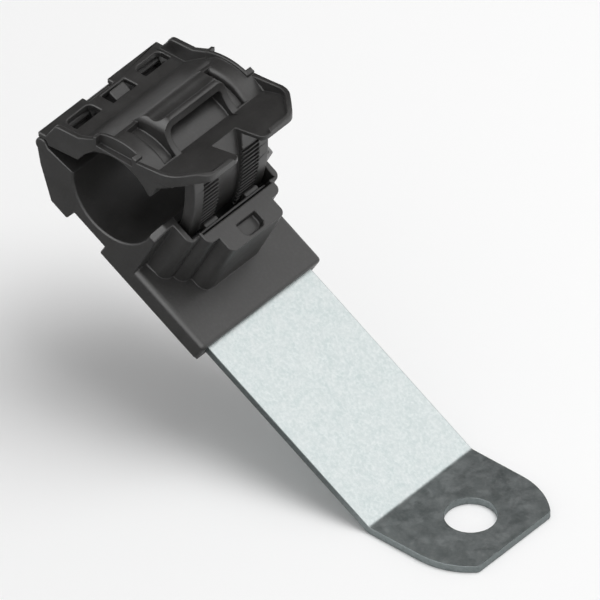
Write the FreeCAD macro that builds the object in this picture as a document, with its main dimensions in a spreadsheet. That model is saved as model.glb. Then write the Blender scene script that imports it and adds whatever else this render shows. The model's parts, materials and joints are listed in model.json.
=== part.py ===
import FreeCAD, Part
import Sketcher
import math
import os
import re

# A ratchet P clamp: a bent steel strip, a moulded clamp base on its upper end and a hinged lid.
# Part frame: origin at the centre of the bolt hole on the foot's underside, +X to the foot's free end,
# +Y along the bundle, +Z up. Lengths are in millimetres.

doc = FreeCAD.newDocument("p_clamp")

# Driving dimensions. Places named "along" and "above" are measured on the arm: along it from the
# bend line and at right angles to its upper face.
DIMENSIONS = {
    # steel strip
    "strip_width": 25.0,
    "strip_thickness": 1.3,
    "bend_angle": 30.0,
    "bend_inner_radius": 1.2,
    "hole_radius": 4.2,
    "hole_to_bend": 10.25,
    "foot_reach": 9.0,
    "foot_corner_round": 1.0,
    "arm_length": 58.5,
    # clamp as a whole
    "clamp_width": 28.8,
    "bundle_radius": 8.2,
    "bundle_along": 64.23,
    "bundle_floor": 2.06,
    "hinge_behind": 5.98,
    "hinge_below": 4.84,
    # sleeve
    "sleeve_mouth": 37.8,
    "sleeve_heel": 60.4,
    "sleeve_top": 1.65,
    "sleeve_bottom": 2.55,
    "sleeve_round": 1.0,
    "strip_clearance": 0.05,
    # cradle under the bundle
    "cradle_back_inset": 0.83,
    "cradle_rear_top": 6.8,
    "cradle_foot": 3.7,
    "cradle_foot_slope": 0.4,
    "belly_drop": 0.1,
    "cradle_wall": 1.93,
    "wall_draft": 0.6,
    "wall_top": 12.6,
    "wall_corner": 2.0,
    "bore_edge_round": 0.4,
    # lugs that carry the hinge pin
    "lug_radius": 1.25,
    "lug_top_angle": 85.0,
    "lug_bottom_angle": 75.0,
    "lug_neck_back": 1.6,
    "lug_neck_drop": 3.4,
    "lug_shoulder_back": 1.2,
    "lug_shoulder_rise": 0.6,
    "pin_radius": 0.9,
    "pin_clearance": 0.07,
    "hook_radius": 1.75,
    "hook_bay_radius": 2.0,
    "hook_side_gap": 0.3,
    "near_hook_from": -9.9,
    "near_hook_to": -3.9,
    "far_hook_from": 6.9,
    "far_hook_to": 12.8,
    "hook_throat": 60.0,
    # stop nub beside the hinge
    "nub_from": -0.2,
    "nub_to": 3.2,
    "nub_heel": 2.1,
    "nub_tip": 0.2,
    "nub_crest": 3.5,
    "nub_depth": 2.0,
    "nub_foot": 3.9,
    "nub_foot_rise": 0.6,
    # latch tower
    "tower_top": 13.3,
    "tower_draft": 4.0,
    "front_reach": 6.0,
    "front_half": 7.2,
    "front_round": 1.9,
    "middle_reach": 2.8,
    "middle_half": 9.5,
    "rear_reach": 0.8,
    "rear_half": 11.7,
    "block_round": 2.0,
    "tower_lap": 0.5,
    "release_wall": 1.95,
    "release_length": 2.55,
    "release_half": 2.3,
    "release_round": 1.1,
    "release_depth": 1.4,
    # slot for the tongue
    "pawl_space": 0.96,
    "slot_shoulder_gap": 0.36,
    "slot_back_play": 1.44,
    "slot_side_play": 0.9,
    "slot_shoulder_half": 8.2,
    "slot_floor": 2.0,
    "slot_back_top": 8.0,
    # pawl
    "pawl_top": 12.45,
    "pawl_plate_top": 12.2,
    "pawl_plate_half": 7.9,
    "pawl_plate_gap": 0.25,
    "pawl_plate_thickness": 0.4,
    "pawl_inner": 3.4,
    "pawl_outer": 6.3,
    "pawl_gap": 0.1,
    "pawl_slope": 3.6,
    "pawl_nose": 0.6,
    "pawl_nose_run": 0.2,
    # lid plate and arch
    "plate_top": 2.4,
    "plate_under": 1.4,
    "plate_back": 0.7,
    "plate_front": 6.0,
    "arch_wall": 2.4,
    "arch_shell": 1.2,
    "ramp_before_crest": 1.6,
    "floor_after_crest": 7.1,
    "slot_cut_back": 1.0,
    "slot_cut_front": 3.5,
    "slot_cut_round": 1.0,
    "nub_play": 1.15,
    "nub_notch_back": 1.3,
    "nub_notch_front": 3.9,
    "back_recess_from": -3.5,
    "back_recess_to": 2.4,
    "back_recess_front": 0.6,
    # lid's end walls and side recesses
    "end_wall": 1.0,
    "fin_step": 0.9,
    "fin_foot_at": 1.25,
    "fin_foot": 0.75,
    "fin_end_at": 7.54,
    "fin_end_under": 1.1,
    "fin_inner_at": 9.0,
    "fin_inner": 3.6,
    "fin_joint_under": 4.6,
    "fin_joint_top": 7.1,
    "fin_top_at": 7.4,
    "fin_top": 5.55,
    "fin_shoulder_at": 2.3,
    "fin_shoulder": 4.5,
    "fin_crown": 0.9,
    "fin_round": 1.3,
    "fin_heel_at": 0.9,
    "recess_floor": 5.8,
    "recess_back": 11.2,
    "recess_front": 18.5,
    "rib_inset": 1.1,
    "rib_width": 0.6,
    "rib_rise": 0.5,
    "rib_foot": 5.2,
    "shoulder_half": 9.5,
    "shoulder_round": 1.1,
    "channel_back": 13.8,
    "channel_front": 21.6,
    # lid hump and bail
    "hump_half": 7.4,
    "hump_back": 12.0,
    "hump_heel": 6.7,
    "hump_front": 21.3,
    "hump_flank_at": 14.0,
    "hump_flank": 8.7,
    "hump_crest_at": 15.9,
    "hump_crest": 9.25,
    "hump_round": 1.8,
    "valley_round": 2.0,
    "bail_back_at": 18.0,
    "bail_back": 9.9,
    "bail_edge": 0.75,
    "bail_at": 19.2,
    "bail_top": 10.0,
    "bail_crown": 0.25,
    "bail_foot_at": 22.3,
    "bail_foot": 4.8,
    "bail_sweep": 5.6,
    "bail_round": 2.4,
    "window_half": 6.2,
    "window_round": 1.0,
    "window_top": 8.6,
    "window_back": 14.0,
    "window_slope_at": 15.6,
    "window_slope": 7.9,
    "window_flat_at": 18.2,
    "window_floor_at": 20.9,
    "window_front": 23.0,
    # lip, skirt and pull tab
    "lip_bottom": 1.3,
    "lip_bevel": 0.2,
    "lip_at": 22.1,
    "lip_rise": 0.7,
    "skirt_back": 22.7,
    "skirt_lean": 0.7,
    "skirt_toe": 3.8,
    "skirt_run": 2.3,
    "skirt_front": 26.4,
    "skirt_bottom": 4.3,
    "skirt_round": 3.4,
    "tab_floor_at": 25.2,
    "tab_floor": 6.05,
    "tab_thickness": 0.85,
    "tab_front": 31.0,
    "tab_front_top": 7.1,
    "tab_side_end": 24.6,
    "tab_corner_round": 4.4,
    "tab_front_round": 2.5,
    "rim_width": 0.85,
    "rim_back": 19.3,
    "rim_side_top": 7.3,
    "rim_front_top": 7.4,
    "rim_crest": 7.9,
    "rim_crest_back": 1.8,
    "rim_end": 4.4,
    "rim_end_slant": 0.4,
    "notch_half": 2.85,
    "notch_round": 1.2,
    # ratchet tongue
    "tongue_before_bore": 2.22,
    "tongue_thickness": 2.15,
    "notch_depth": 0.95,
    "notch_top_angle": 18.0,
    "tongue_half": 9.0,
    "tongue_tip": 22.0,
    "tongue_root": 12.0,
    "teeth_half": 6.7,
    "tooth_pitch": 1.75,
    "tooth_depth": 0.5,
    "tooth_count": 15,
}

sheet = doc.addObject("Spreadsheet::Sheet", "Sizes")
for row, (alias, size) in enumerate(DIMENSIONS.items(), start=1):
    sheet.set(f"A{row}", alias)
    sheet.set(f"B{row}", repr(size))
    sheet.setAlias(f"B{row}", alias)
doc.recompute()

WORD = re.compile(r"[a-z_]+")


def bound(formula):
    """The formula with each driving dimension's name pointed at the sheet."""
    return WORD.sub(lambda m: "Sizes." + m.group(0) if m.group(0) in DIMENSIONS else m.group(0), str(formula))


def value(formula):
    """The formula's value now, as a plain number."""
    result = sheet.evalExpression(bound(formula))
    return float(getattr(result, "Value", result))


def plane_of(body, role):
    return next(feature for feature in body.Origin.OriginFeatures if feature.Role == role)


def new_sketch(body, name, role="XZ_Plane", lift=None):
    """A sketch on one of the body's own origin planes, lifted off it by a formula."""
    sketch = body.newObject("Sketcher::SketchObject", name)
    sketch.AttachmentSupport = [(plane_of(body, role), "")]
    sketch.MapMode = "FlatFace"
    if lift is not None:
        sketch.setExpression("AttachmentOffset.Base.z", bound(lift))
    doc.recompute()
    return sketch


def pin_point(sketch, edge, end, formulas):
    """Fixes one end of an edge at a place given by two formulas."""
    for kind, formula in zip(("DistanceX", "DistanceY"), formulas):
        index = sketch.addConstraint(Sketcher.Constraint(kind, -1, 1, edge, end, value(formula)))
        sketch.setExpression(f"Constraints[{index}]", bound(formula))


def arc_centre(start, end, radius, turn):
    """Centre of the arc from start to end; turn is +1 anticlockwise and -1 clockwise."""
    half_x, half_y = (end[0] - start[0]) / 2, (end[1] - start[1]) / 2
    half_chord = math.hypot(half_x, half_y)
    rise = math.sqrt(max(radius ** 2 - half_chord ** 2, 0.0)) / half_chord
    return start[0] + half_x - turn * rise * half_y, start[1] + half_y + turn * rise * half_x


def outline(sketch, corners):
    """A closed outline. Each corner is (x, y), or (x, y, radius, turn) where an arc leads to the next."""
    places = [(value(corner[0]), value(corner[1])) for corner in corners]
    first = sketch.GeometryCount
    for index, corner in enumerate(corners):
        start = FreeCAD.Vector(*places[index], 0)
        end = FreeCAD.Vector(*places[(index + 1) % len(places)], 0)
        if len(corner) == 2:
            sketch.addGeometry(Part.LineSegment(start, end))
            continue
        radius, turn = value(corner[2]), corner[3]
        centre = arc_centre(start, end, radius, turn)
        begin, finish = (start, end) if turn > 0 else (end, start)
        begin_angle = math.atan2(begin.y - centre[1], begin.x - centre[0])
        finish_angle = math.atan2(finish.y - centre[1], finish.x - centre[0])
        if finish_angle < begin_angle:
            finish_angle += 2 * math.pi
        circle = Part.Circle(FreeCAD.Vector(*centre, 0), FreeCAD.Vector(0, 0, 1), radius)
        sketch.addGeometry(Part.ArcOfCircle(circle, begin_angle, finish_angle))
    for index, corner in enumerate(corners):
        edge, following = first + index, first + (index + 1) % len(corners)
        leaving = 1 if len(corner) == 2 or corner[3] > 0 else 2
        next_corner = corners[(index + 1) % len(corners)]
        arriving = 1 if len(next_corner) == 2 or next_corner[3] > 0 else 2
        sketch.addConstraint(Sketcher.Constraint("Coincident", edge, 3 - leaving, following, arriving))
        pin_point(sketch, edge, leaving, corner[:2])
        if len(corner) > 2:
            rule = sketch.addConstraint(Sketcher.Constraint("Radius", edge, value(corner[2])))
            sketch.setExpression(f"Constraints[{rule}]", bound(corner[2]))
    return sketch


def rectangle(sketch, low_x, low_y, high_x, high_y):
    return outline(sketch, [(low_x, low_y), (high_x, low_y), (high_x, high_y), (low_x, high_y)])


def disc(sketch, centre_x, centre_y, radius):
    """A full circle with its centre and radius bound to formulas."""
    centre = FreeCAD.Vector(value(centre_x), value(centre_y), 0)
    edge = sketch.addGeometry(Part.Circle(centre, FreeCAD.Vector(0, 0, 1), value(radius)))
    pin_point(sketch, edge, 3, (centre_x, centre_y))
    rule = sketch.addConstraint(Sketcher.Constraint("Radius", edge, value(radius)))
    sketch.setExpression(f"Constraints[{rule}]", bound(radius))
    return sketch


def extrude(body, kind, name, sketch, length, side="Symmetric", reverse=False, taper=None):
    """A Pad or a Pocket of the sketch. It must change the body's volume in the way its kind says."""
    before = body.Shape.Volume if not body.Shape.isNull() else 0.0
    feature = body.newObject("PartDesign::" + kind, name)
    feature.Profile = sketch
    feature.SideType = side
    feature.Reversed = reverse
    feature.setExpression("Length", bound(length))
    if taper is not None:
        feature.setExpression("TaperAngle", bound(taper))
    doc.recompute()
    change = feature.Shape.Volume - before
    if change * (1 if kind == "Pad" else -1) <= 0.001:
        raise RuntimeError(f"{name} changes nothing")
    return feature


def pad(body, name, sketch, length, **options):
    return extrude(body, "Pad", name, sketch, length, **options)


def pocket(body, name, sketch, length, **options):
    return extrude(body, "Pocket", name, sketch, length, **options)


def dress(body, kind, name, amount, chosen):
    """A Fillet or Chamfer on the edges of the body that the test picks."""
    doc.recompute()
    base = body.Tip
    names = [f"Edge{i}" for i, edge in enumerate(base.Shape.Edges, start=1) if chosen(edge.BoundBox, edge)]
    feature = body.newObject("PartDesign::" + kind, name)
    feature.Base = (base, names)
    feature.setExpression("Radius" if kind == "Fillet" else "Size", bound(amount))
    doc.recompute()
    return feature


def span(body, name, profile, low, high, kind="Pad"):
    """A profile on the XZ plane carried from y = low to y = high."""
    sketch = new_sketch(body, name + "_sketch", "XZ_Plane", lift=f"-({high})")
    profile(sketch)
    return extrude(body, kind, name, sketch, f"({high}) - ({low})", side="One side",
                   reverse=(kind == "Pocket"))


def new_body(name):
    body = doc.addObject("PartDesign::Body", name)
    body.Label = name
    return body


# Places that follow from the driving dimensions.
HALF_STRIP = "(strip_width / 2)"
HALF_CLAMP = "(clamp_width / 2)"
TAN_HALF = "tan(bend_angle * 0.5 * 1 deg)"
COS_BEND = "cos(bend_angle * 1 deg)"
SIN_BEND = "sin(bend_angle * 1 deg)"
BUNDLE_ABOVE = "(bundle_radius + bundle_floor)"
BORE_FRONT = "(bundle_along - bundle_radius)"
HINGE_ALONG = "(bundle_along + bundle_radius + hinge_behind)"
HINGE_ABOVE = "(bundle_radius + bundle_floor - hinge_below)"
CRADLE_BACK = "(bundle_along + bundle_radius - cradle_back_inset)"
TONGUE_INNER = "(2 * bundle_radius + hinge_behind + tongue_before_bore)"
TONGUE_OUTER = f"({TONGUE_INNER} + tongue_thickness)"
SLOT_FRONT = f"({HINGE_ALONG} - {TONGUE_OUTER} - pawl_space)"
SLOT_SHOULDER = f"({HINGE_ALONG} - {TONGUE_OUTER} - slot_shoulder_gap)"
SLOT_BACK = f"({HINGE_ALONG} - {TONGUE_INNER} + slot_back_play)"
SLOT_HALF = "(tongue_half + slot_side_play)"

# Steel strip: side profile with the bend, foot rounded about the bolt hole.

bracket = new_body("bracket")
bracket_side = new_sketch(bracket, "bracket_side")
BEND_TOP = "-hole_to_bend"
INNER_SETBACK = f"bend_inner_radius * {TAN_HALF}"
OUTER_RADIUS = "bend_inner_radius + strip_thickness"
OUTER_SETBACK = f"({OUTER_RADIUS}) * {TAN_HALF}"
BEND_BOTTOM = f"-hole_to_bend - strip_thickness * {TAN_HALF}"
outline(bracket_side, [
    (f"{BEND_BOTTOM} + {OUTER_SETBACK}", "0"),
    ("foot_reach", "0"),
    ("foot_reach", "strip_thickness"),
    (f"{BEND_TOP} + {INNER_SETBACK}", "strip_thickness", "bend_inner_radius", -1),
    (f"{BEND_TOP} - {INNER_SETBACK} * {COS_BEND}", f"strip_thickness + {INNER_SETBACK} * {SIN_BEND}"),
    (f"{BEND_TOP} - arm_length * {COS_BEND}", f"strip_thickness + arm_length * {SIN_BEND}"),
    (f"{BEND_TOP} - arm_length * {COS_BEND} - strip_thickness * {SIN_BEND}",
     f"strip_thickness + arm_length * {SIN_BEND} - strip_thickness * {COS_BEND}"),
    (f"{BEND_BOTTOM} - {OUTER_SETBACK} * {COS_BEND}", f"{OUTER_SETBACK} * {SIN_BEND}", OUTER_RADIUS, 1),
])
pad(bracket, "bracket_strip", bracket_side, "strip_width")

foot_corners = new_sketch(bracket, "foot_corners", "XY_Plane")
FOOT_CORNER = f"sqrt({HALF_STRIP} ^ 2 - foot_reach ^ 2)"
for side in (1, -1):
    outline(foot_corners, [
        ("0", f"{side} * {HALF_STRIP}", HALF_STRIP, -side),
        ("foot_reach", f"{side} * {FOOT_CORNER}"),
        ("foot_reach + 1", f"{side} * {FOOT_CORNER}"),
        ("foot_reach + 1", f"{side} * ({HALF_STRIP} + 1)"),
        ("0", f"{side} * ({HALF_STRIP} + 1)"),
    ])
pocket(bracket, "foot_end", foot_corners, "strip_thickness * 3")
bolt_hole = disc(new_sketch(bracket, "bolt_hole_sketch", "XY_Plane"), "0", "0", "hole_radius")
pocket(bracket, "bolt_hole", bolt_hole, "strip_thickness * 3")
dress(bracket, "Fillet", "foot_corner_rounds", "foot_corner_round",
      lambda box, edge: box.ZLength > value("strip_thickness") / 2 and box.XMin > value("foot_reach") - 0.01)

# Clamp base. Its body lies on the arm: X along it from the bend line, Z at right angles to its upper face.

clamp_base = new_body("clamp_base")
clamp_base.Placement = FreeCAD.Placement(
    FreeCAD.Vector(),
    FreeCAD.Rotation(FreeCAD.Vector(0, 1, 0), value("bend_angle")).multiply(
        FreeCAD.Rotation(FreeCAD.Vector(0, 0, 1), 180)))
clamp_base.setExpression("Placement.Base.x", bound("-hole_to_bend"))
clamp_base.setExpression("Placement.Base.z", bound("strip_thickness"))
doc.recompute()

base_side = outline(new_sketch(clamp_base, "base_side"), [
    ("sleeve_mouth", "-sleeve_bottom"),
    ("sleeve_heel", "-sleeve_bottom"),
    ("sleeve_heel", "-belly_drop"),
    (f"{CRADLE_BACK} - cradle_foot - cradle_foot_slope", "-belly_drop"),
    (f"{CRADLE_BACK} - cradle_foot", "-sleeve_bottom"),
    (CRADLE_BACK, "-sleeve_bottom"),
    (f"{HINGE_ALONG} - lug_neck_back", f"{HINGE_ABOVE} - lug_neck_drop"),
    (f"{HINGE_ALONG} + lug_radius * cos(lug_bottom_angle * 1 deg)",
     f"{HINGE_ABOVE} - lug_radius * sin(lug_bottom_angle * 1 deg)", "lug_radius", 1),
    (f"{HINGE_ALONG} - lug_radius * cos(lug_top_angle * 1 deg)",
     f"{HINGE_ABOVE} + lug_radius * sin(lug_top_angle * 1 deg)"),
    (f"{HINGE_ALONG} - lug_shoulder_back", f"{HINGE_ABOVE} + lug_shoulder_rise"),
    (f"{CRADLE_BACK} + cradle_foot_slope", "cradle_rear_top"),
    ("bundle_along", "cradle_rear_top"),
    ("bundle_along", "wall_top"),
    (f"{BORE_FRONT} - cradle_wall + wall_draft", "wall_top"),
    (f"{BORE_FRONT} - cradle_wall", "sleeve_top"),
    ("sleeve_mouth", "sleeve_top"),
])
pad(clamp_base, "base_body", base_side, "clamp_width")
dress(clamp_base, "Chamfer", "wall_corners", "wall_corner",
      lambda box, edge: box.ZMin > value("wall_top") - 0.01 and box.YLength < 0.01)


def tower_step(name, reach, half, rounding, top):
    """One drafted block of the latch tower, with its front corners rounded."""
    front = f"{SLOT_FRONT} - {reach}"
    back = f"{SLOT_BACK} + tower_lap"
    sketch = new_sketch(clamp_base, name + "_plan", "XY_Plane", lift="sleeve_top")
    outline(sketch, [
        (f"{front} + {rounding}", f"-{half}"),
        (back, f"-{half}"),
        (back, half),
        (f"{front} + {rounding}", half, rounding, 1),
        (front, f"{half} - {rounding}"),
        (front, f"{rounding} - {half}", rounding, 1),
    ])
    pad(clamp_base, name, sketch, f"{top} - sleeve_top", side="One side", taper="-tower_draft")


tower_step("rear_block", "rear_reach", "rear_half", "block_round", "wall_top")
tower_step("middle_block", "middle_reach", "middle_half", "block_round", "tower_top")
tower_step("front_block", "front_reach", "front_half", "front_round", "tower_top")

bundle_space = outline(new_sketch(clamp_base, "bundle_space"), [
    (BORE_FRONT, BUNDLE_ABOVE, "bundle_radius", 1),
    ("bundle_along", "bundle_floor", "bundle_radius", 1),
    ("bundle_along + bundle_radius", BUNDLE_ABOVE),
    ("bundle_along + bundle_radius", "tower_top * 2"),
    (BORE_FRONT, "tower_top * 2"),
])
pocket(clamp_base, "bundle_bore", bundle_space, "clamp_width * 2")

tongue_slot = outline(new_sketch(clamp_base, "tongue_slot_plan", "XY_Plane", lift="slot_floor"), [
    (SLOT_FRONT, "-slot_shoulder_half"),
    (SLOT_SHOULDER, "-slot_shoulder_half"),
    (SLOT_SHOULDER, f"-{SLOT_HALF}"),
    (SLOT_BACK, f"-{SLOT_HALF}"),
    (SLOT_BACK, SLOT_HALF),
    (SLOT_SHOULDER, SLOT_HALF),
    (SLOT_SHOULDER, "slot_shoulder_half"),
    (SLOT_FRONT, "slot_shoulder_half"),
])
pocket(clamp_base, "tongue_slot", tongue_slot, "tower_top", side="One side", reverse=True)
slot_back_wall = rectangle(new_sketch(clamp_base, "slot_back_wall_plan", "XY_Plane", lift="slot_back_top"),
                           f"{SLOT_BACK} - tower_lap", f"-{SLOT_HALF}",
                           f"{BORE_FRONT} + cradle_wall", SLOT_HALF)
pocket(clamp_base, "slot_back_wall_cut", slot_back_wall, "tower_top", side="One side", reverse=True)

# Pawl: a thin upright plate in the slot, with two bars that lean towards the tongue's teeth.
PLATE_NEAR = f"({SLOT_FRONT} + pawl_plate_gap)"
PLATE_FAR = f"({PLATE_NEAR} + pawl_plate_thickness)"
pawl_plate = rectangle(new_sketch(clamp_base, "pawl_plate_plan", "XY_Plane", lift="slot_floor - 0.1"),
                       PLATE_NEAR, "-pawl_plate_half", PLATE_FAR, "pawl_plate_half")
pad(clamp_base, "pawl_plate", pawl_plate, "pawl_plate_top - slot_floor + 0.1", side="One side")
PAWL_TIP = (f"({HINGE_ALONG} - sqrt(({TONGUE_OUTER} + pawl_gap) ^ 2"
            f" - (pawl_top - pawl_nose - {HINGE_ABOVE}) ^ 2))")


def pawl_side(sketch):
    return outline(sketch, [
        (PLATE_NEAR, "pawl_top - pawl_slope"),
        (PLATE_FAR, "pawl_top - pawl_slope"),
        (PAWL_TIP, "pawl_top - pawl_nose"),
        (f"{PAWL_TIP} - pawl_nose_run", "pawl_top"),
        (PLATE_FAR, "pawl_top"),
        (PLATE_FAR, "pawl_plate_top"),
        (PLATE_NEAR, "pawl_plate_top"),
    ])


span(clamp_base, "far_pawl_bar", pawl_side, "-pawl_outer", "-pawl_inner")
span(clamp_base, "near_pawl_bar", pawl_side, "pawl_inner", "pawl_outer")

RELEASE_BACK = f"({SLOT_FRONT} - release_wall)"
RELEASE_FRONT = f"({RELEASE_BACK} - release_length)"
release_slot = outline(new_sketch(clamp_base, "release_slot_plan", "XY_Plane", lift="tower_top"), [
    (RELEASE_BACK, "-release_half"),
    (RELEASE_BACK, "release_half"),
    (f"{RELEASE_FRONT} + release_round", "release_half", "release_round", 1),
    (RELEASE_FRONT, "release_half - release_round"),
    (RELEASE_FRONT, "release_round - release_half", "release_round", 1),
    (f"{RELEASE_FRONT} + release_round", "-release_half"),
])
pocket(clamp_base, "release_slot", release_slot, "release_depth", side="One side")

strip_space = rectangle(new_sketch(clamp_base, "strip_space_face", "YZ_Plane", lift="sleeve_mouth - 1"),
                        f"-{HALF_STRIP} - strip_clearance", "-strip_thickness - strip_clearance",
                        f"{HALF_STRIP} + strip_clearance", "strip_clearance")
pocket(clamp_base, "strip_space", strip_space, "arm_length + strip_clearance - sleeve_mouth + 1",
       side="One side", reverse=True)


def hook_bay(sketch):
    disc(sketch, HINGE_ALONG, HINGE_ABOVE, "hook_bay_radius")
    disc(sketch, HINGE_ALONG, HINGE_ABOVE, "pin_radius")


for side_name, low, high in (("near", "-near_hook_to", "-near_hook_from"), ("far", "-far_hook_to", "-far_hook_from")):
    span(clamp_base, side_name + "_hook_bay", hook_bay,
         f"{low} - hook_side_gap", f"{high} + hook_side_gap", kind="Pocket")


def nub_side(sketch):
    return outline(sketch, [
        (f"{HINGE_ALONG} - nub_heel", HINGE_ABOVE),
        (f"{HINGE_ALONG} - nub_tip", f"{HINGE_ABOVE} + nub_crest"),
        (f"{HINGE_ALONG} - nub_tip - nub_depth", f"{HINGE_ABOVE} + nub_crest"),
        (f"{HINGE_ALONG} - nub_foot", f"{HINGE_ABOVE} + nub_foot_rise"),
    ])


span(clamp_base, "stop_nub", nub_side, "-nub_to", "-nub_from")
dress(clamp_base, "Fillet", "sleeve_edges", "sleeve_round",
      lambda box, edge: abs(abs(box.YMin) - value(HALF_CLAMP)) < 0.01 and box.YLength < 0.01
      and box.ZLength < 0.01 and box.XMin < value("sleeve_mouth") + 0.1
      and box.XMax < value("sleeve_heel") + 0.1)
dress(clamp_base, "Fillet", "bore_edges", "bore_edge_round",
      lambda box, edge: abs(abs(box.YMin) - value(HALF_CLAMP)) < 0.01 and box.YLength < 0.01
      and isinstance(edge.Curve, Part.Circle) and abs(edge.Curve.Radius - value("bundle_radius")) < 0.01)

# Lid. Its body stands at the hinge pin, level: X towards the tab, Z up.

lid = new_body("clamp_lid")
lid.setExpression("Placement.Base.x", bound(f"-hole_to_bend - {HINGE_ALONG} * {COS_BEND} + {HINGE_ABOVE} * {SIN_BEND}"))
lid.setExpression("Placement.Base.z", bound(f"strip_thickness + {HINGE_ALONG} * {SIN_BEND} + {HINGE_ABOVE} * {COS_BEND}"))
BUNDLE_X = f"((bundle_radius + hinge_behind) * {COS_BEND} + hinge_below * {SIN_BEND})"
BUNDLE_Z = f"(hinge_below * {COS_BEND} - (bundle_radius + hinge_behind) * {SIN_BEND})"
ARCH = "(bundle_radius + arch_wall)"
ARCH_INNER = "(bundle_radius + arch_shell)"
RIB_RADIUS = f"({ARCH} + rib_rise)"
RIB_HALF = f"({HALF_CLAMP} - rib_inset)"
RAMP_MEETS_ARCH = f"({BUNDLE_X} - ramp_before_crest)"
FLOOR_MEETS_ARCH = f"({BUNDLE_X} + floor_after_crest)"


def on_circle_x(radius, height, side):
    """x of the circle about the bundle's axis at a height; side is +1 in front and -1 behind."""
    return f"{BUNDLE_X} + {side} * sqrt({radius} ^ 2 - ({height} - {BUNDLE_Z}) ^ 2)"


def on_circle_z(radius, place):
    """Upper z of the circle about the bundle's axis at a place along x."""
    return f"{BUNDLE_Z} + sqrt({radius} ^ 2 - ({place} - {BUNDLE_X}) ^ 2)"


lid_side = outline(new_sketch(lid, "lid_side"), [
    ("-plate_back", "plate_under"),
    (on_circle_x("bundle_radius", "plate_under", -1), "plate_under", "bundle_radius", -1),
    (on_circle_x("bundle_radius", "(lip_bottom + lip_bevel)", 1), "lip_bottom + lip_bevel"),
    ("lip_at", "lip_bottom"),
    ("skirt_back", "lip_bottom + lip_rise"),
    ("skirt_back + skirt_lean", "skirt_toe"),
    ("skirt_back + skirt_run", "skirt_bottom"),
    ("tab_front", "skirt_bottom"),
    ("tab_front", "tab_front_top"),
    ("tab_floor_at", "tab_floor"),
    (FLOOR_MEETS_ARCH, on_circle_z(ARCH, FLOOR_MEETS_ARCH), ARCH, 1),
    (RAMP_MEETS_ARCH, on_circle_z(ARCH, RAMP_MEETS_ARCH)),
    ("plate_front", "plate_top"),
    ("-plate_back", "plate_top"),
])
pad(lid, "lid_shell", lid_side, "clamp_width")

# Pull tab: a raised rim round its floor, its corners cut in plan, then the space under it.
DIAGONAL = "sin(45 deg)"
RIM_SLANT = f"rim_width * {DIAGONAL}"
CORNER_X = f"(tab_side_end + tab_corner_round * {DIAGONAL})"
CORNER_Y = f"({HALF_CLAMP} - tab_corner_round * (1 - {DIAGONAL}))"
FRONT_X = f"(tab_front - tab_front_round * (1 - {DIAGONAL}))"
FRONT_Y = f"({CORNER_Y} + {CORNER_X} - {FRONT_X})"
FRONT_FLAT = f"({FRONT_Y} - tab_front_round * {DIAGONAL})"
rim_plan = new_sketch(lid, "rim_plan", "XY_Plane", lift="skirt_bottom + 0.2")
tab_corners = new_sketch(lid, "tab_corners_plan", "XY_Plane")
for side in (1, -1):
    edge_of_tab = [
        ("tab_side_end", f"{side} * {HALF_CLAMP}", "tab_corner_round", -side),
        (CORNER_X, f"{side} * {CORNER_Y}"),
        (FRONT_X, f"{side} * {FRONT_Y}", "tab_front_round", -side),
        ("tab_front", f"{side} * {FRONT_FLAT}"),
    ]
    outline(rim_plan, [("rim_back", f"{side} * {HALF_CLAMP}")] + edge_of_tab + [
        ("tab_front", f"{side} * rim_end"),
        ("tab_front - rim_width", f"{side} * (rim_end + rim_end_slant)"),
        ("tab_front - rim_width", f"{side} * {FRONT_FLAT}", "tab_front_round - rim_width", side),
        (f"{FRONT_X} - {RIM_SLANT}", f"{side} * ({FRONT_Y} - {RIM_SLANT})"),
        (f"{CORNER_X} - {RIM_SLANT}", f"{side} * ({CORNER_Y} - {RIM_SLANT})", "tab_corner_round - rim_width", side),
        ("tab_side_end", f"{side} * ({HALF_CLAMP} - rim_width)"),
        ("rim_back", f"{side} * ({HALF_CLAMP} - rim_width)"),
    ])
    outline(tab_corners, edge_of_tab + [
        ("tab_front + 1", f"{side} * {FRONT_FLAT}"),
        ("tab_front + 1", f"{side} * ({HALF_CLAMP} + 1)"),
        ("tab_side_end", f"{side} * ({HALF_CLAMP} + 1)"),
    ])
    outline(tab_corners, [
        ("tab_front", f"{side} * (notch_half + notch_round)", "notch_round", -side),
        ("tab_front - notch_round", f"{side} * notch_half"),
        ("tab_front + 1", f"{side} * notch_half"),
        ("tab_front + 1", f"{side} * (notch_half + notch_round)"),
    ])
pad(lid, "tab_rim", rim_plan, "rim_crest - skirt_bottom", side="One side")
rim_profile = outline(new_sketch(lid, "rim_profile"), [
    ("rim_back", on_circle_z(ARCH, "rim_back")),
    ("tab_side_end", "rim_side_top"),
    ("tab_front - rim_crest_back", "rim_crest"),
    ("tab_front", "rim_front_top"),
    ("tab_front + 1", "rim_front_top"),
    ("tab_front + 1", "rim_crest + 2"),
    ("rim_back", "rim_crest + 2"),
])
pocket(lid, "rim_top_cut", rim_profile, "clamp_width * 2")
pocket(lid, "tab_corner_cut", tab_corners, "plate_front * 8")
FLOOR_SLOPE = "((tab_front_top - tab_floor) / (tab_front - tab_floor_at))"
under_tab = outline(new_sketch(lid, "under_tab"), [
    ("skirt_front", "skirt_bottom - 1"),
    ("tab_front + 1", "skirt_bottom - 1"),
    ("tab_front + 1", f"tab_front_top + {FLOOR_SLOPE} - tab_thickness"),
    ("skirt_front", f"tab_floor + {FLOOR_SLOPE} * (skirt_front - tab_floor_at) - tab_thickness"),
])
pocket(lid, "under_tab_cut", under_tab, "clamp_width * 2")
skirt_corners = new_sketch(lid, "skirt_corners_plan", "XY_Plane", lift="skirt_bottom - 1")
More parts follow.
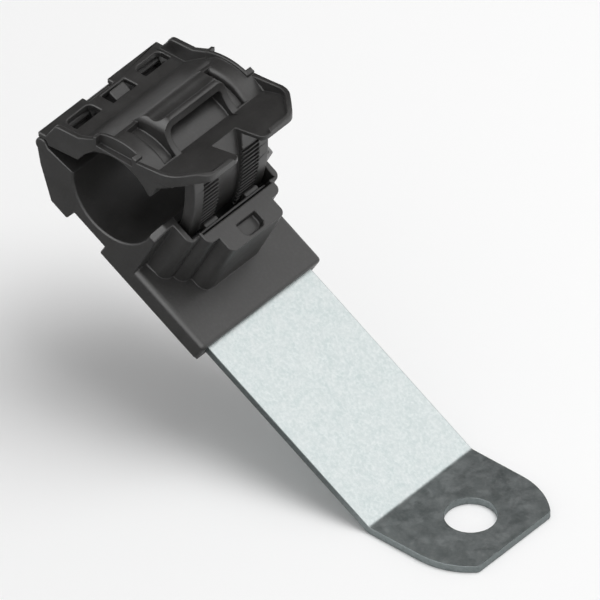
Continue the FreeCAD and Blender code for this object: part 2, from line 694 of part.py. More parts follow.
for side in (1, -1):
    outline(skirt_corners, [
        ("skirt_front - skirt_round", f"{side} * {HALF_CLAMP}", "skirt_round", -side),
        ("skirt_front", f"{side} * ({HALF_CLAMP} - skirt_round)"),
        ("skirt_front + 1", f"{side} * ({HALF_CLAMP} - skirt_round)"),
        ("skirt_front + 1", f"{side} * ({HALF_CLAMP} + 1)"),
        ("skirt_front - skirt_round", f"{side} * ({HALF_CLAMP} + 1)"),
    ])
pocket(lid, "skirt_corner_cut", skirt_corners, "tab_floor - tab_thickness - skirt_bottom + 1",
       side="One side", reverse=True)


def recess(sketch):
    rectangle(sketch, "recess_back", "recess_floor", "recess_front", "rim_crest + 2")


def end_wall(sketch):
    outline(sketch, [
        ("-plate_back", "plate_under"),
        ("fin_step", "plate_under"),
        ("fin_foot_at", "fin_foot"),
        ("fin_end_at", "fin_end_under"),
        ("fin_inner_at", "fin_inner"),
        ("recess_back", "fin_joint_under"),
        ("recess_back", "fin_joint_top"),
        ("fin_top_at", "fin_top"),
        ("fin_shoulder_at + fin_round", "fin_shoulder + fin_crown", "fin_round", 1),
        ("fin_shoulder_at", "fin_shoulder"),
        ("fin_heel_at", "plate_top"),
        ("-plate_back", "plate_top"),
    ])


def rib_between(back, front):
    """A profile that stands on the arch from one place to another, its top following the arch."""
    def profile(sketch):
        outline(sketch, [
            (back, "rib_foot"),
            (front, "rib_foot"),
            (front, on_circle_z(RIB_RADIUS, front), RIB_RADIUS, 1),
            (back, on_circle_z(RIB_RADIUS, back)),
        ])
    return profile


def mirrored(side, low, high):
    """A span's two ends on the near (-1) or far (+1) side, lower end first."""
    return (f"({low})", f"({high})") if side > 0 else (f"-({high})", f"-({low})")


RIB_START = "(recess_back - rib_width)"
for side_name, side in (("near", -1), ("far", 1)):
    span(lid, side_name + "_recess", recess, *mirrored(side, RIB_HALF, f"{HALF_CLAMP} + 1"), kind="Pocket")
    span(lid, side_name + "_end_wall", end_wall, *mirrored(side, f"{HALF_CLAMP} - end_wall", HALF_CLAMP))
    span(lid, side_name + "_side_rib", rib_between(RIB_START, "rim_back"),
         *mirrored(side, f"{RIB_HALF} - rib_width", RIB_HALF))
    span(lid, side_name + "_back_return", rib_between(RIB_START, "recess_back"),
         *mirrored(side, RIB_HALF, HALF_CLAMP))
    span(lid, side_name + "_front_return", rib_between("recess_front", "rim_back"),
         *mirrored(side, RIB_HALF, HALF_CLAMP))

# Hump: a broad ridge, a valley and the bail that stands over the window.
hump = outline(new_sketch(lid, "hump_side"), [
    ("hump_back", "hump_heel"),
    ("hump_flank_at", "hump_flank", "hump_round", -1),
    ("hump_crest_at", "hump_crest", "valley_round", 1),
    ("bail_back_at", "bail_back", "bail_edge", -1),
    ("bail_at", "bail_top", "bail_sweep", 1),
    ("bail_foot_at", "bail_foot"),
    ("hump_front", on_circle_z(ARCH_INNER, "hump_front"), ARCH_INNER, 1),
    ("hump_back", on_circle_z(ARCH_INNER, "hump_back")),
])
pad(lid, "hump", hump, "2 * hump_half")
bail_corners = new_sketch(lid, "bail_corners_face", "YZ_Plane", lift="hump_back - 1")
BAIL_CREST = "(bail_top + bail_crown)"
TAB_DROP = (f"((window_front - tab_floor_at) / ({FLOOR_MEETS_ARCH} - tab_floor_at)"
            f" * ({on_circle_z(ARCH, FLOOR_MEETS_ARCH)} - tab_floor))")
for side in (1, -1):
    outline(bail_corners, [
        (f"{side} * (hump_half - bail_round)", BAIL_CREST, "bail_round", -side),
        (f"{side} * hump_half", f"{BAIL_CREST} - bail_round"),
        (f"{side} * (hump_half + 0.5)", f"{BAIL_CREST} - bail_round"),
        (f"{side} * (hump_half + 0.5)", f"{BAIL_CREST} + 1"),
        (f"{side} * (hump_half - bail_round)", f"{BAIL_CREST} + 1"),
    ])
pocket(lid, "bail_corners", bail_corners, "bail_foot_at - hump_back + 2", side="One side", reverse=True)
bail_window = outline(new_sketch(lid, "bail_window_side"), [
    ("window_back", on_circle_z(ARCH_INNER, "window_back"), ARCH_INNER, -1),
    ("window_floor_at", on_circle_z(ARCH_INNER, "window_floor_at")),
    ("window_front", f"{TAB_DROP} + tab_floor"),
    ("tab_floor_at", "tab_floor"),
    ("tab_floor_at", "window_top"),
    ("window_flat_at", "window_top"),
    ("window_slope_at", "window_slope"),
])
pocket(lid, "bail_window", bail_window, "2 * window_half")
dress(lid, "Fillet", "window_corners", "window_round",
      lambda box, edge: box.YLength < 0.01 and abs(abs(box.YMin) - value("window_half")) < 0.01
      and box.ZLength < 0.01 and abs(box.ZMin - value("window_top")) < 0.01)


def channel(sketch):
    outline(sketch, [
        ("channel_back", on_circle_z(ARCH_INNER, "channel_back"), ARCH_INNER, -1),
        ("channel_front", on_circle_z(ARCH_INNER, "channel_front")),
        ("channel_front", "bail_top + 1"),
        ("channel_back", "bail_top + 1"),
    ])


for side_name, side in (("near", -1), ("far", 1)):
    span(lid, side_name + "_channel", channel, *mirrored(side, "hump_half", "shoulder_half"), kind="Pocket")
dress(lid, "Fillet", "shoulder_edges", "shoulder_round",
      lambda box, edge: box.YLength < 0.01 and abs(abs(box.YMin) - value("shoulder_half")) < 0.01
      and isinstance(edge.Curve, Part.Circle) and abs(edge.Curve.Radius - value(ARCH)) < 0.01)


# Ratchet tongue: a curved blade about the hinge pin, with the thumb notch's wall as its middle channel.
def polar(radius, angle):
    return f"({radius}) * cos(({angle}) * 1 deg)", f"({radius}) * sin(({angle}) * 1 deg)"


tongue_side = outline(new_sketch(lid, "tongue_side"), [
    polar(TONGUE_INNER, "-tongue_tip"),
    (*polar(TONGUE_OUTER, "-tongue_tip"), TONGUE_OUTER, 1),
    polar(TONGUE_OUTER, "tongue_root"),
    (*polar(TONGUE_INNER, "tongue_root"), TONGUE_INNER, -1),
])
pad(lid, "tongue", tongue_side, "2 * tongue_half")
NOTCH_RADIUS = f"({TONGUE_OUTER} - notch_depth)"
NOTCH_LOW = polar(NOTCH_RADIUS, "-tongue_tip - 2")
NOTCH_HIGH = polar(NOTCH_RADIUS, "notch_top_angle")
notch_side = outline(new_sketch(lid, "notch_side"), [
    (*NOTCH_LOW, NOTCH_RADIUS, 1),
    NOTCH_HIGH,
    ("tab_front + 2", NOTCH_HIGH[1]),
    ("tab_front + 2", NOTCH_LOW[1]),
])
pocket(lid, "thumb_notch", notch_side, "2 * notch_half")
TOOTH_FOOT = "(1 - tongue_tip)"
tooth_side = outline(new_sketch(lid, "tooth_side"), [
    polar(f"{TONGUE_OUTER} - tooth_depth", TOOTH_FOOT),
    polar(f"{TONGUE_OUTER} + tooth_depth", TOOTH_FOOT),
    polar(f"{TONGUE_OUTER} + tooth_depth", f"{TOOTH_FOOT} + tooth_pitch"),
    polar(f"{TONGUE_OUTER} - tooth_depth * 0.1", f"{TOOTH_FOOT} + tooth_pitch * 0.9"),
])
tooth_cut = pocket(lid, "tooth_cut", tooth_side, "2 * teeth_half")
teeth = lid.newObject("PartDesign::PolarPattern", "teeth")
teeth.Originals = [tooth_cut]
teeth.Axis = (plane_of(lid, "Y_Axis"), [""])
teeth.Mode = "Spacing"
teeth.setExpression("Offset", bound("tooth_pitch"))
teeth.setExpression("Occurrences", bound("tooth_count"))
teeth.Reversed = True
lid.Tip = teeth
doc.recompute()


# Hinge plate: two slots, the notch for the stop nub and the hooks that grip the pin.
def plate_cut(name, corners):
    sketch = outline(new_sketch(lid, name + "_plan", "XY_Plane", lift="plate_under - 0.2"), corners)
    pocket(lid, name, sketch, "plate_top - plate_under + 0.4", side="One side", reverse=True)


for side_name in ("near", "far"):
    low, high = f"{side_name}_hook_from", f"{side_name}_hook_to"
    plate_cut(side_name + "_slot", [
        ("slot_cut_back + slot_cut_round", low),
        ("slot_cut_front", low),
        ("slot_cut_front", high),
        ("slot_cut_back + slot_cut_round", high, "slot_cut_round", 1),
        ("slot_cut_back", f"{high} - slot_cut_round"),
        ("slot_cut_back", f"{low} + slot_cut_round", "slot_cut_round", 1),
    ])
NUB_NOTCH_FROM = "(nub_from - nub_play)"
NUB_NOTCH_TO = "(nub_to + nub_play)"
plate_cut("nub_notch", [
    ("nub_notch_back", NUB_NOTCH_FROM),
    ("nub_notch_front", NUB_NOTCH_FROM),
    ("nub_notch_front", NUB_NOTCH_TO),
    ("nub_notch_back", NUB_NOTCH_TO),
])
plate_cut("back_recess", [
    ("-plate_back - 1", "back_recess_from"),
    ("back_recess_front", "back_recess_from"),
    ("back_recess_front", "back_recess_to"),
    ("-plate_back - 1", "back_recess_to"),
])


def pin_hook(sketch):
    bore = "(pin_radius + pin_clearance)"
    outline(sketch, [
        (*polar("hook_radius", "hook_throat"), "hook_radius", 1),
        (*polar("hook_radius", "180"), "hook_radius", 1),
        polar("hook_radius", "-hook_throat"),
        (*polar(bore, "-hook_throat"), bore, -1),
        (*polar(bore, "180"), bore, -1),
        polar(bore, "hook_throat"),
    ])


for side_name in ("near", "far"):
    span(lid, side_name + "_pin_hook", pin_hook, f"{side_name}_hook_from", f"{side_name}_hook_to")

# Write each piece.
doc.recompute()
for item in doc.Objects:
    if "Invalid" in item.State or "Error" in item.State:
        raise RuntimeError(f"{item.Label} failed: {item.State}")
os.makedirs("parts", exist_ok=True)
for body in (bracket, clamp_base, lid):
    shape = body.Shape
    if shape.isNull() or not shape.isValid() or len(shape.Solids) != 1:
        raise RuntimeError(f"{body.Label}: null, invalid or {len(shape.Solids)} solids")
    shape.exportStep(f"parts/{body.Label}.step")
    print(body.Label, round(shape.Volume, 1), len(shape.Faces), shape.BoundBox)
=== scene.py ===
import json
import math

import bmesh
import bpy
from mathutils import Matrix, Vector


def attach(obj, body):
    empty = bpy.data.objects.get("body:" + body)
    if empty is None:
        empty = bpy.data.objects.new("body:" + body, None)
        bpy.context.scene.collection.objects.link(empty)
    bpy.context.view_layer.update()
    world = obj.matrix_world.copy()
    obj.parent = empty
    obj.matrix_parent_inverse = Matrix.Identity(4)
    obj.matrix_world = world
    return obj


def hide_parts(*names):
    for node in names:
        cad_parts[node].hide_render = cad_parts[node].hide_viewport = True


MM = 0.001

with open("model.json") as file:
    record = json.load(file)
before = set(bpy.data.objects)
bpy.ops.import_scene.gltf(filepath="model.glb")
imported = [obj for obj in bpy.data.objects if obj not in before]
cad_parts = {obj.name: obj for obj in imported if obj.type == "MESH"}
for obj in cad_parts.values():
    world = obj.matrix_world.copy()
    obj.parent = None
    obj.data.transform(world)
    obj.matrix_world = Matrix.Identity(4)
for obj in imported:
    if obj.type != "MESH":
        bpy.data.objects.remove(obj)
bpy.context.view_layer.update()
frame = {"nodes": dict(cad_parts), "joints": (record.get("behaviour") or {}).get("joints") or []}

# The view and the studio's places. Angles are in degrees, and an azimuth is turned from -Y towards +X.
VIEW_AZIMUTH = 40.0
VIEW_ELEVATION = 40.0
VIEW_WIDTH = 93.63 * MM
VIEW_CENTRE = Vector((-33.15, -1.94, 28.48)) * MM
CAMERA_DISTANCE = 1.0
CAMERA_REACH = 10.0
LAMP_DISTANCE = 0.6
CARD_DISTANCE = 0.5


def direction(azimuth, elevation):
    """Unit vector from the object towards a place in the studio, from its angles in degrees."""
    turn, rise = math.radians(azimuth), math.radians(elevation)
    return Vector((math.sin(turn) * math.cos(rise), -math.cos(turn) * math.cos(rise), math.sin(rise)))


def aim(obj, towards):
    """Turns a lamp, a card or the camera to face a place."""
    obj.rotation_euler = (towards - obj.location).to_track_quat("-Z", "Y").to_euler()


class Tree:
    """A node tree, with short calls to add its nodes and to feed their sockets."""

    def __init__(self, tree):
        self.tree = tree

    def feed(self, source, target):
        """Joins another node's output to the socket, or gives it a plain value."""
        if hasattr(source, "is_output"):
            self.tree.links.new(source, target)
        else:
            target.default_value = source

    def add(self, kind, fed=(), **settings):
        """A new node, with its settings and with what is fed to its sockets, by their name or place."""
        node = self.tree.nodes.new(kind)
        for key, setting in settings.items():
            setattr(node, key, setting)
        for socket, source in dict(fed).items():
            self.feed(source, node.inputs[socket])
        return node

    def math(self, operation, first, second=0.0):
        """The result of a calculation on one or two numbers, each a value or an output."""
        return self.add("ShaderNodeMath", {0: first, 1: second}, operation=operation).outputs[0]


# Materials

WHITE = (1.0, 1.0, 1.0, 1.0)
ZINC_DARK = (0.49, 0.55, 0.548, 1.0)
ZINC_PALE = (0.63, 0.672, 0.67, 1.0)
ZINC_FLECK = (0.76, 0.79, 0.787, 1.0)
# Cut-edge tones: partly the duller bare cut, partly painted shade for the dark reflections on the strip's
# sides.
SHADED_CUT_DARK = (0.15, 0.17, 0.17, 1.0)
SHADED_CUT_PALE = (0.24, 0.265, 0.265, 1.0)
MOULDED_DARK = (0.023, 0.0222, 0.0216, 1.0)
MOULDED_PALE = (0.031, 0.030, 0.0292, 1.0)
MOULDED_SPECK = (0.042, 0.041, 0.040, 1.0)
MOULDED_GLOSS = 0.72
RUBBED_EDGE = 0.22 * MM
RUBBED_EDGE_SAMPLES = 6
NOISE_LOW = 0.3
NOISE_HIGH = 0.7


class Finish(Tree):
    """A material whose patterns read Object coordinates."""

    def __init__(self, name):
        self.material = bpy.data.materials.new(name)
        self.material.use_nodes = True
        super().__init__(self.material.node_tree)

    def noise(self, across_mm, detail, roughness=0.5, distortion=0.0):
        """Noise whose patches are about across_mm wide."""
        return self.add("ShaderNodeTexNoise", {
            "Vector": self.add("ShaderNodeTexCoord").outputs["Object"],
            "Scale": 1 / (across_mm * MM),
            "Detail": detail,
            "Roughness": roughness,
            "Distortion": distortion,
        }).outputs["Fac"]

    def spread(self, source, low, high, from_low=NOISE_LOW, from_high=NOISE_HIGH):
        """The part of a noise between from_low and from_high, spread over low to high."""
        return self.add("ShaderNodeMapRange", {
            "Value": source,
            "From Min": from_low,
            "From Max": from_high,
            "To Min": low,
            "To Max": high,
        }).outputs["Result"]

    def blend(self, share, first, second):
        """A colour between two others, by the second one's share."""
        node = self.add("ShaderNodeMix", {"Factor": share}, data_type="RGBA")
        first_socket, second_socket = (socket for socket in node.inputs if socket.type == "RGBA")
        self.feed(first, first_socket)
        self.feed(second, second_socket)
        return next(socket for socket in node.outputs if socket.type == "RGBA")

    def bump(self, height, strength, depth_mm, over=None):
        """The surface's normal, tilted by a height, over a coarser bump or round where one is given."""
        fed = {"Height": height, "Strength": strength, "Distance": depth_mm * MM}
        if over is not None:
            fed["Normal"] = over
        return self.add("ShaderNodeBump", fed).outputs["Normal"]

    def surface(self, fed):
        """Feeds the sockets of the surface and returns the finished material."""
        inputs = self.tree.nodes["Principled BSDF"].inputs
        for socket, source in fed.items():
            self.feed(source, inputs[socket])
        return self.material


def zinc_plate():
    """Zinc-plated steel: pale and satin, with cloudy spangle patches, flecks and a faint rolled grain."""
    finish = Finish("zinc_plate")
    clouds = finish.noise(across_mm=2.2, detail=6.0, roughness=0.68, distortion=0.5)
    flecks = finish.noise(across_mm=0.55, detail=3.0, roughness=0.6)
    grain = finish.noise(across_mm=0.14, detail=2.0)
    tone = finish.blend(finish.spread(clouds, low=0.0, high=1.0), ZINC_DARK, ZINC_PALE)
    flecked = finish.spread(flecks, low=0.0, high=0.55, from_low=0.42, from_high=0.72)
    cloudy = finish.bump(clouds, strength=0.3, depth_mm=0.05)
    pitted = finish.bump(flecks, strength=0.3, depth_mm=0.02, over=cloudy)
    return finish.surface({
        "Base Color": finish.blend(flecked, tone, ZINC_FLECK),
        "Metallic": 1.0,
        "Roughness": finish.spread(clouds, low=0.36, high=0.46),
        "Normal": finish.bump(grain, strength=0.12, depth_mm=0.006, over=pitted),
    })


def sheared_edge():
    """The strip's cut edges: duller than its rolled faces, with a coarse sheared grain, and darker with
    painted shade for the dark reflections on the strip's sides and rounded edges.
    """
    finish = Finish("sheared_edge")
    streaks = finish.noise(across_mm=0.5, detail=4.0, roughness=0.7)
    grain = finish.noise(across_mm=0.1, detail=2.0)
    torn = finish.bump(streaks, strength=0.2, depth_mm=0.02)
    return finish.surface({
        "Base Color": finish.blend(finish.spread(streaks, low=0.0, high=1.0), SHADED_CUT_DARK, SHADED_CUT_PALE),
        "Metallic": 1.0,
        "Roughness": finish.spread(streaks, low=0.42, high=0.58),
        "Normal": finish.bump(grain, strength=0.25, depth_mm=0.012, over=torn),
    })


def moulded_black():
    """Black polyamide: a fine eroded tool texture, slightly uneven gloss and softly lit edges."""
    finish = Finish("moulded_black")
    clouds = finish.noise(across_mm=5.0, detail=3.0, roughness=0.6)
    grain = finish.noise(across_mm=0.17, detail=2.0, roughness=0.65)
    pits = finish.noise(across_mm=0.45, detail=2.0)
    tone = finish.blend(finish.spread(clouds, low=0.0, high=1.0), MOULDED_DARK, MOULDED_PALE)
    specks = finish.spread(pits, low=0.0, high=0.5, from_low=0.45, from_high=0.75)
    rubbed = finish.add("ShaderNodeBevel", {"Radius": RUBBED_EDGE}, samples=RUBBED_EDGE_SAMPLES)
    pitted = finish.bump(pits, strength=0.15, depth_mm=0.02, over=rubbed.outputs["Normal"])
    return finish.surface({
        "Base Color": finish.blend(specks, tone, MOULDED_SPECK),
        "Roughness": finish.spread(clouds, low=0.38, high=0.48),
        "Specular IOR Level": MOULDED_GLOSS,
        "Normal": finish.bump(grain, strength=0.22, depth_mm=0.012, over=pitted),
    })


def dull_paint(name, grey):
    """Even paint without gloss, for the floor and for the cards that darken reflections."""
    return Finish(name).surface({
        "Base Color": (grey, grey, grey, 1.0),
        "Roughness": 1.0,
        "Specular IOR Level": 0.0,
    })


ZINC = zinc_plate()
SHEARED_AND_SHADED = sheared_edge()
BLACK = moulded_black()

# Meshes from the frame: merged copies, with the solids' flat faces made whole again

MERGED_WITHIN = 0.004 * MM
FLAT_WITHIN = math.radians(0.8)


def node_copy(node, name, materials):
    """A CAD node's shape as an object of its own, in the given materials."""
    mesh = frame["nodes"][node].data.copy()
    mesh.name = name
    piece = bpy.data.objects.new(name, mesh)
    bpy.context.scene.collection.objects.link(piece)
    shape = bmesh.new()
    shape.from_mesh(mesh)
    bmesh.ops.remove_doubles(shape, verts=shape.verts, dist=MERGED_WITHIN)
    bmesh.ops.dissolve_limit(shape, angle_limit=FLAT_WITHIN, verts=shape.verts, edges=shape.edges)
    bmesh.ops.recalc_face_normals(shape, faces=shape.faces)
    shape.to_mesh(mesh)
    shape.free()
    mesh.materials.clear()
    for material in materials:
        mesh.materials.append(material)
    return piece


def mesh_as_seen(obj, name):
    """The mesh that an object's modifiers make, as a plain one."""
    seen = obj.evaluated_get(bpy.context.evaluated_depsgraph_get())
    mesh = bpy.data.meshes.new_from_object(seen)
    mesh.name = name
    return mesh


# Edge rounds, narrower where a face has little room for them

# An edge is rounded where it turns more than SHARP. Shading runs on over turns of less than CREASE.
SHARP = math.radians(28.0)
CREASE = math.radians(36.0)

# A neighbouring edge bounds a round where the sine of the corner between them is more than STRAIGHT_ON.
# One round takes at most the share CROWDED of the room on a face.
STRAIGHT_ON = 0.6
CROWDED = 0.42

# Edges of faces with less room than this stay sharp. An inner edge needs more room than an outer one.
LEAST_ROOM = 0.3 * MM
LEAST_INNER_ROOM = 1.2 * MM

# A round stays off where its share of the widest one is less than FAINTEST_ROUND.
FAINTEST_ROUND = 0.05
EVENING_PASSES = 4
ROUND_SEGMENTS = 3


def room_across(face, edge):
    """How far the face reaches from the middle of one of its edges, square to that edge."""
    ends = [vert.co for vert in edge.verts]
    middle = (ends[0] + ends[1]) / 2
    along = (ends[1] - ends[0]).normalized()
    inward = face.normal.cross(along)
    reaches = []
    for other in face.edges:
        if other is edge:
            continue
        first, second = (vert.co - middle for vert in other.verts)
        before, after = first.dot(along), second.dot(along)
        if (before > 0) == (after > 0):
            continue
        share = before / (before - after)
        reaches.append(abs(first.lerp(second, share).dot(inward)))
    return min(reaches, default=0.0)


def room_at_ends(face, edge):
    """How far a round can slide along the neighbouring edges of the face before it runs past one."""
    along = (edge.verts[1].co - edge.verts[0].co).normalized()
    reaches = []
    for vert in edge.verts:
        for other in face.edges:
            if other is edge or vert not in other.verts:
                continue
            away = other.other_vert(vert).co - vert.co
            reach = (away - along * away.dot(along)).length
            if reach > STRAIGHT_ON * away.length:
                reaches.append(reach)
    return min(reaches, default=math.inf)


def nowhere(edge):
    """For a piece with no wide rounds."""
    return False


def round_shares(shape, width, wide, is_wide):
    """Each rounded edge's share of the wide round, evened out along runs of edges."""
    share = {}
    for edge in shape.edges:
        if len(edge.link_faces) != 2 or edge.calc_face_angle(0.0) < SHARP:
            continue
        room = min(min(room_across(face, edge), room_at_ends(face, edge)) for face in edge.link_faces)
        if room < (LEAST_ROOM if edge.is_convex else LEAST_INNER_ROOM):
            continue
        wanted = wide if is_wide(edge) else width
        share[edge] = min(wanted, CROWDED * room) / wide
    for _ in range(EVENING_PASSES):
        for vert in shape.verts:
            meeting = [edge for edge in vert.link_edges if edge in share]
            if len(meeting) == 2 and is_wide(meeting[0]) == is_wide(meeting[1]):
                least = min(share[edge] for edge in meeting)
                share[meeting[0]] = share[meeting[1]] = least
    return share


def settle_normals(mesh):
    """Shades curved faces as one and keeps flat ones flat: corners lean to the large faces they meet."""
    meeting = [[] for _ in mesh.vertices]
    for polygon in mesh.polygons:
        polygon.use_smooth = True
        for vertex in polygon.vertices:
            meeting[vertex].append(polygon)
    normals = [None] * len(mesh.loops)
    for polygon in mesh.polygons:
        for corner in polygon.loop_indices:
            lean = Vector()
            for other in meeting[mesh.loops[corner].vertex_index]:
                if polygon.normal.dot(other.normal) > math.cos(CREASE):
                    lean += other.normal * other.area
            normals[corner] = lean.normalized()
    mesh.normals_split_custom_set(normals)


def soften(piece, width, wide=None, is_wide=nowhere):
    """Rounds the piece's edges by width, or by wide where is_wide says so."""
    wide = wide or width
    shape = bmesh.new()
    shape.from_mesh(piece.data)
    weight = shape.edges.layers.float.new("bevel_weight_edge")
    for edge, share in round_shares(shape, width, wide, is_wide).items():
        if share > FAINTEST_ROUND:
            edge[weight] = share
    shape.to_mesh(piece.data)
    shape.free()
    rounds = piece.modifiers.new("edge_rounds", "BEVEL")
    rounds.width = wide
    rounds.segments = ROUND_SEGMENTS
    rounds.limit_method = "WEIGHT"
    rounds.use_clamp_overlap = False
    # The rounds take the piece's last material, so the strip's rounded edges get the cut-edge colour,
    # painted shade in place of their highlights.
    rounds.material = len(piece.data.materials) - 1
    mesh = mesh_as_seen(piece, piece.name)
    piece.modifiers.clear()
    piece.data = mesh
    settle_normals(mesh)


# Steel strip

ARM_RISE = math.radians(30.0)
ARM_ALONG = Vector((-math.cos(ARM_RISE), 0.0, math.sin(ARM_RISE)))
ARM_FACE = Vector((math.sin(ARM_RISE), 0.0, math.cos(ARM_RISE)))
ROLLED = 0.9
STRIP_ROUND = 0.1 * MM


def mark_cut_faces(mesh):
    """Second material for the faces that lie square to the strip's rolled ones."""
    for polygon in mesh.polygons:
        if max(abs(polygon.normal.z), abs(polygon.normal.dot(ARM_FACE))) < ROLLED:
            polygon.material_index = 1


strip = node_copy("bracket", "steel_strip", (ZINC, SHEARED_AND_SHADED))
mark_cut_faces(strip.data)
soften(strip, STRIP_ROUND)
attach(strip, "base")
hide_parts("bracket")

# Clamp base

BASE_ROUND = 0.28 * MM
MOUTH_ROUND = 0.6 * MM
MOUTH = min(vert.co.dot(ARM_ALONG) for vert in frame["nodes"]["clamp_base"].data.vertices)
AT_MOUTH = 0.1 * MM
UP_THE_ARM = 0.5


def is_mouth_rim(edge):
    """Whether an edge belongs to the outer rim of the sleeve's mouth."""
    at_mouth = all(vert.co.dot(ARM_ALONG) - MOUTH < AT_MOUTH for vert in edge.verts)
    return at_mouth and all(face.normal.dot(ARM_ALONG) < UP_THE_ARM for face in edge.link_faces)


base = node_copy("clamp_base", "base_moulding", (BLACK,))
soften(base, BASE_ROUND, MOUTH_ROUND, is_mouth_rim)
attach(base, "base")
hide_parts("clamp_base")

# Clamp lid

LID_ROUND = 0.26 * MM

lid = node_copy("clamp_lid", "lid_moulding", (BLACK,))
soften(lid, LID_ROUND)
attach(lid, "lid")
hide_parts("clamp_lid")

# Ratchet teeth: a Geometry Nodes tree lays a round crest along every tooth of both banks.

HINGE = Vector(frame["joints"][0]["pos_m"])

# Pitch and First are angles about the hinge pin, and Reach is how far a crest lies from it.
TEETH = {
    "Teeth": 15,
    "Banks": 2,
    "Pitch": math.radians(1.75),
    "First": math.radians(-19.34),
    "Reach": 26.65 * MM,
    "Crest": 0.12 * MM,
    "Width": 3.8 * MM,
    "Bank Spacing": 9.55 * MM,
}
BAR_SIDES = 12
SIDE_CORNERS = 4
ALONG_THE_PIN = (math.pi / 2, 0.0, 0.0)


class Growth(Tree):
    """A Geometry Nodes tree with a named input for each of its sizes."""

    def __init__(self, name, sizes):
        super().__init__(bpy.data.node_groups.new(name, "GeometryNodeTree"))
        sockets = self.tree.interface
        sockets.new_socket("Geometry", in_out="INPUT", socket_type="NodeSocketGeometry")
        for key, size in sizes.items():
            kind = "NodeSocketInt" if isinstance(size, int) else "NodeSocketFloat"
            sockets.new_socket(key, in_out="INPUT", socket_type=kind)
        sockets.new_socket("Geometry", in_out="OUTPUT", socket_type="NodeSocketGeometry")
        self.given = self.add("NodeGroupInput").outputs
        self.result = self.add("NodeGroupOutput").inputs["Geometry"]

    def grow(self, name, sizes):
        """What the tree makes, as a plain object. Its inputs are set by their identifiers."""
        seed = bpy.data.objects.new(name + "_seed", bpy.data.meshes.new(name + "_seed"))
        bpy.context.scene.collection.objects.link(seed)
        growth = seed.modifiers.new("growth", "NODES")
        growth.node_group = self.tree
        for item in self.tree.interface.items_tree:
            if item.item_type == "SOCKET" and item.in_out == "INPUT" and item.name in sizes:
                growth[item.identifier] = sizes[item.name]
        mesh = mesh_as_seen(seed, name)
        bpy.data.objects.remove(seed)
        piece = bpy.data.objects.new(name, mesh)
        bpy.context.scene.collection.objects.link(piece)
        return piece


def tooth_crests(material):
    """Round bars along the pin's axis, set about the hinge pin at the teeth's pitch."""
    tree = Growth("tooth_crests", TEETH)
    given = tree.given
    index = tree.add("GeometryNodeInputIndex").outputs[0]
    bank = tree.math("MODULO", index, given["Banks"])
    step = tree.math("FLOOR", tree.math("DIVIDE", index, given["Banks"]))
    angle = tree.math("ADD", given["First"], tree.math("MULTIPLY", step, given["Pitch"]))
    out = tree.math("MULTIPLY", given["Reach"], tree.math("COSINE", angle))
    up = tree.math("MULTIPLY", given["Reach"], tree.math("SINE", angle))
    middle = tree.math("DIVIDE", tree.math("SUBTRACT", given["Banks"], 1.0), 2.0)
    places = tree.add("ShaderNodeCombineXYZ", {
        "X": tree.math("ADD", HINGE.x, out),
        "Y": tree.math("MULTIPLY", tree.math("SUBTRACT", bank, middle), given["Bank Spacing"]),
        "Z": tree.math("ADD", HINGE.z, up),
    })
    points = tree.add("GeometryNodePoints", {
        "Count": tree.math("MULTIPLY", given["Teeth"], given["Banks"]),
        "Position": places.outputs[0],
    })
    bar = tree.add("GeometryNodeMeshCylinder", {
        "Vertices": BAR_SIDES,
        "Radius": given["Crest"],
        "Depth": given["Width"],
    })
    bars = tree.add("GeometryNodeInstanceOnPoints", {
        "Points": points.outputs[0],
        "Instance": bar.outputs["Mesh"],
        "Rotation": ALONG_THE_PIN,
    })
    real = tree.add("GeometryNodeRealizeInstances", {"Geometry": bars.outputs[0]})
    painted = tree.add("GeometryNodeSetMaterial", {"Geometry": real.outputs[0], "Material": material})
    tree.feed(painted.outputs[0], tree.result)
    return tree


crests = tooth_crests(BLACK).grow("ratchet_crests", TEETH)
for polygon in crests.data.polygons:
    polygon.use_smooth = len(polygon.vertices) == SIDE_CORNERS
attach(crests, "lid")

# Studio

FLOOR_SIZE = 6.0
FLOOR_DROP = 0.02 * MM
FLOOR_GREY = 0.93


def plane(name, size, location, material):
    """A square of the studio, which isn't part of the object."""
    half = size / 2
    corners = [(-half, -half, 0), (half, -half, 0), (half, half, 0), (-half, half, 0)]
    mesh = bpy.data.meshes.new(name)
    mesh.from_pydata(corners, [], [(0, 1, 2, 3)])
    mesh.materials.append(material)
    obj = bpy.data.objects.new(name, mesh)
    obj.location = location
    bpy.context.scene.collection.objects.link(obj)
    return obj


def softbox(name, azimuth, elevation, size, strength):
    """A square lamp, its size in metres. Its strength is the radiance of its face."""
    data = bpy.data.lights.new(name, "AREA")
    data.size = size
    data.energy = strength * math.pi * size * size
    lamp = bpy.data.objects.new(name, data)
    lamp.location = VIEW_CENTRE + direction(azimuth, elevation) * LAMP_DISTANCE
    bpy.context.scene.collection.objects.link(lamp)
    aim(lamp, VIEW_CENTRE)
    return lamp


plane("floor", FLOOR_SIZE, (0, 0, -FLOOR_DROP), dull_paint("studio_white", FLOOR_GREY))

softbox("key_box", azimuth=150.0, elevation=50.0, size=0.50, strength=0.45)
top_box = softbox("top_box", azimuth=140.0, elevation=74.0, size=0.42, strength=4.2)
top_box.visible_glossy = False
edge_box = softbox("edge_box", azimuth=345.0, elevation=35.0, size=0.80, strength=1.9)
edge_box.visible_diffuse = False

# Cards that only glossy surfaces see, so that the foot and the mouldings reflect something dark

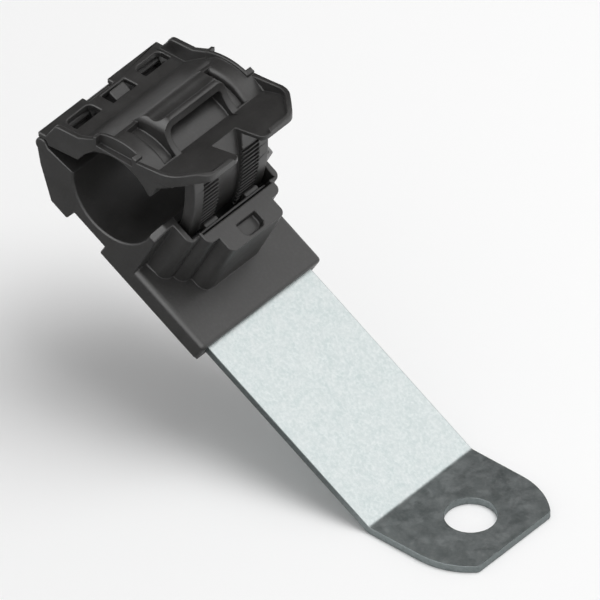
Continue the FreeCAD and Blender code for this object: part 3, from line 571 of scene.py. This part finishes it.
HIGH_CARD_SIZE = 0.75
HIGH_CARD_PLACE = VIEW_CENTRE + direction(azimuth=232.0, elevation=36.0) * CARD_DISTANCE
HIGH_CARD_GREY = 0.02
LOW_CARD_SIZE = 0.24
LOW_CARD_PLACE = Vector((-60.0, -136.0, 0.5)) * MM
LOW_CARD_GREY = 0.24

high_card = plane("high_card", HIGH_CARD_SIZE, HIGH_CARD_PLACE, dull_paint("black_card", HIGH_CARD_GREY))
aim(high_card, VIEW_CENTRE)
low_card = plane("low_card", LOW_CARD_SIZE, LOW_CARD_PLACE, dull_paint("grey_card", LOW_CARD_GREY))
for card in (high_card, low_card):
    for ray in ("camera", "diffuse", "shadow", "transmission"):
        setattr(card, "visible_" + ray, False)

# World: a soft room light, and a near-white backdrop for the camera, metal and glass

ROOM_LEVEL = 0.46
BACKDROP_LEVEL = 0.97


def glow(tree, strength):
    """An even white background."""
    return tree.add("ShaderNodeBackground", {"Color": WHITE, "Strength": strength}).outputs["Background"]


def backdrop_rays(tree):
    """1 for the camera's rays and for those that gloss or glass sends on, else 0."""
    path = tree.add("ShaderNodeLightPath").outputs
    chosen = path["Is Camera Ray"]
    for ray in ("Is Glossy Ray", "Is Transmission Ray"):
        chosen = tree.math("MAXIMUM", chosen, path[ray])
    return chosen


world = bpy.data.worlds.new("studio")
bpy.context.scene.world = world
world.use_nodes = True
world.node_tree.nodes.clear()
sky = Tree(world.node_tree)
surround = sky.add("ShaderNodeMixShader", {
    0: backdrop_rays(sky),
    1: glow(sky, ROOM_LEVEL),
    2: glow(sky, BACKDROP_LEVEL),
})
sky.add("ShaderNodeOutputWorld", {"Surface": surround.outputs["Shader"]})

# Camera

lens = bpy.data.cameras.new("view")
lens.type = "ORTHO"
lens.ortho_scale = VIEW_WIDTH
lens.clip_end = CAMERA_REACH
camera = bpy.data.objects.new("view", lens)
camera.location = VIEW_CENTRE + direction(VIEW_AZIMUTH, VIEW_ELEVATION) * CAMERA_DISTANCE
bpy.context.scene.collection.objects.link(camera)
aim(camera, VIEW_CENTRE)
bpy.context.scene.camera = camera
bpy.context.scene.view_settings.view_transform = "Standard"
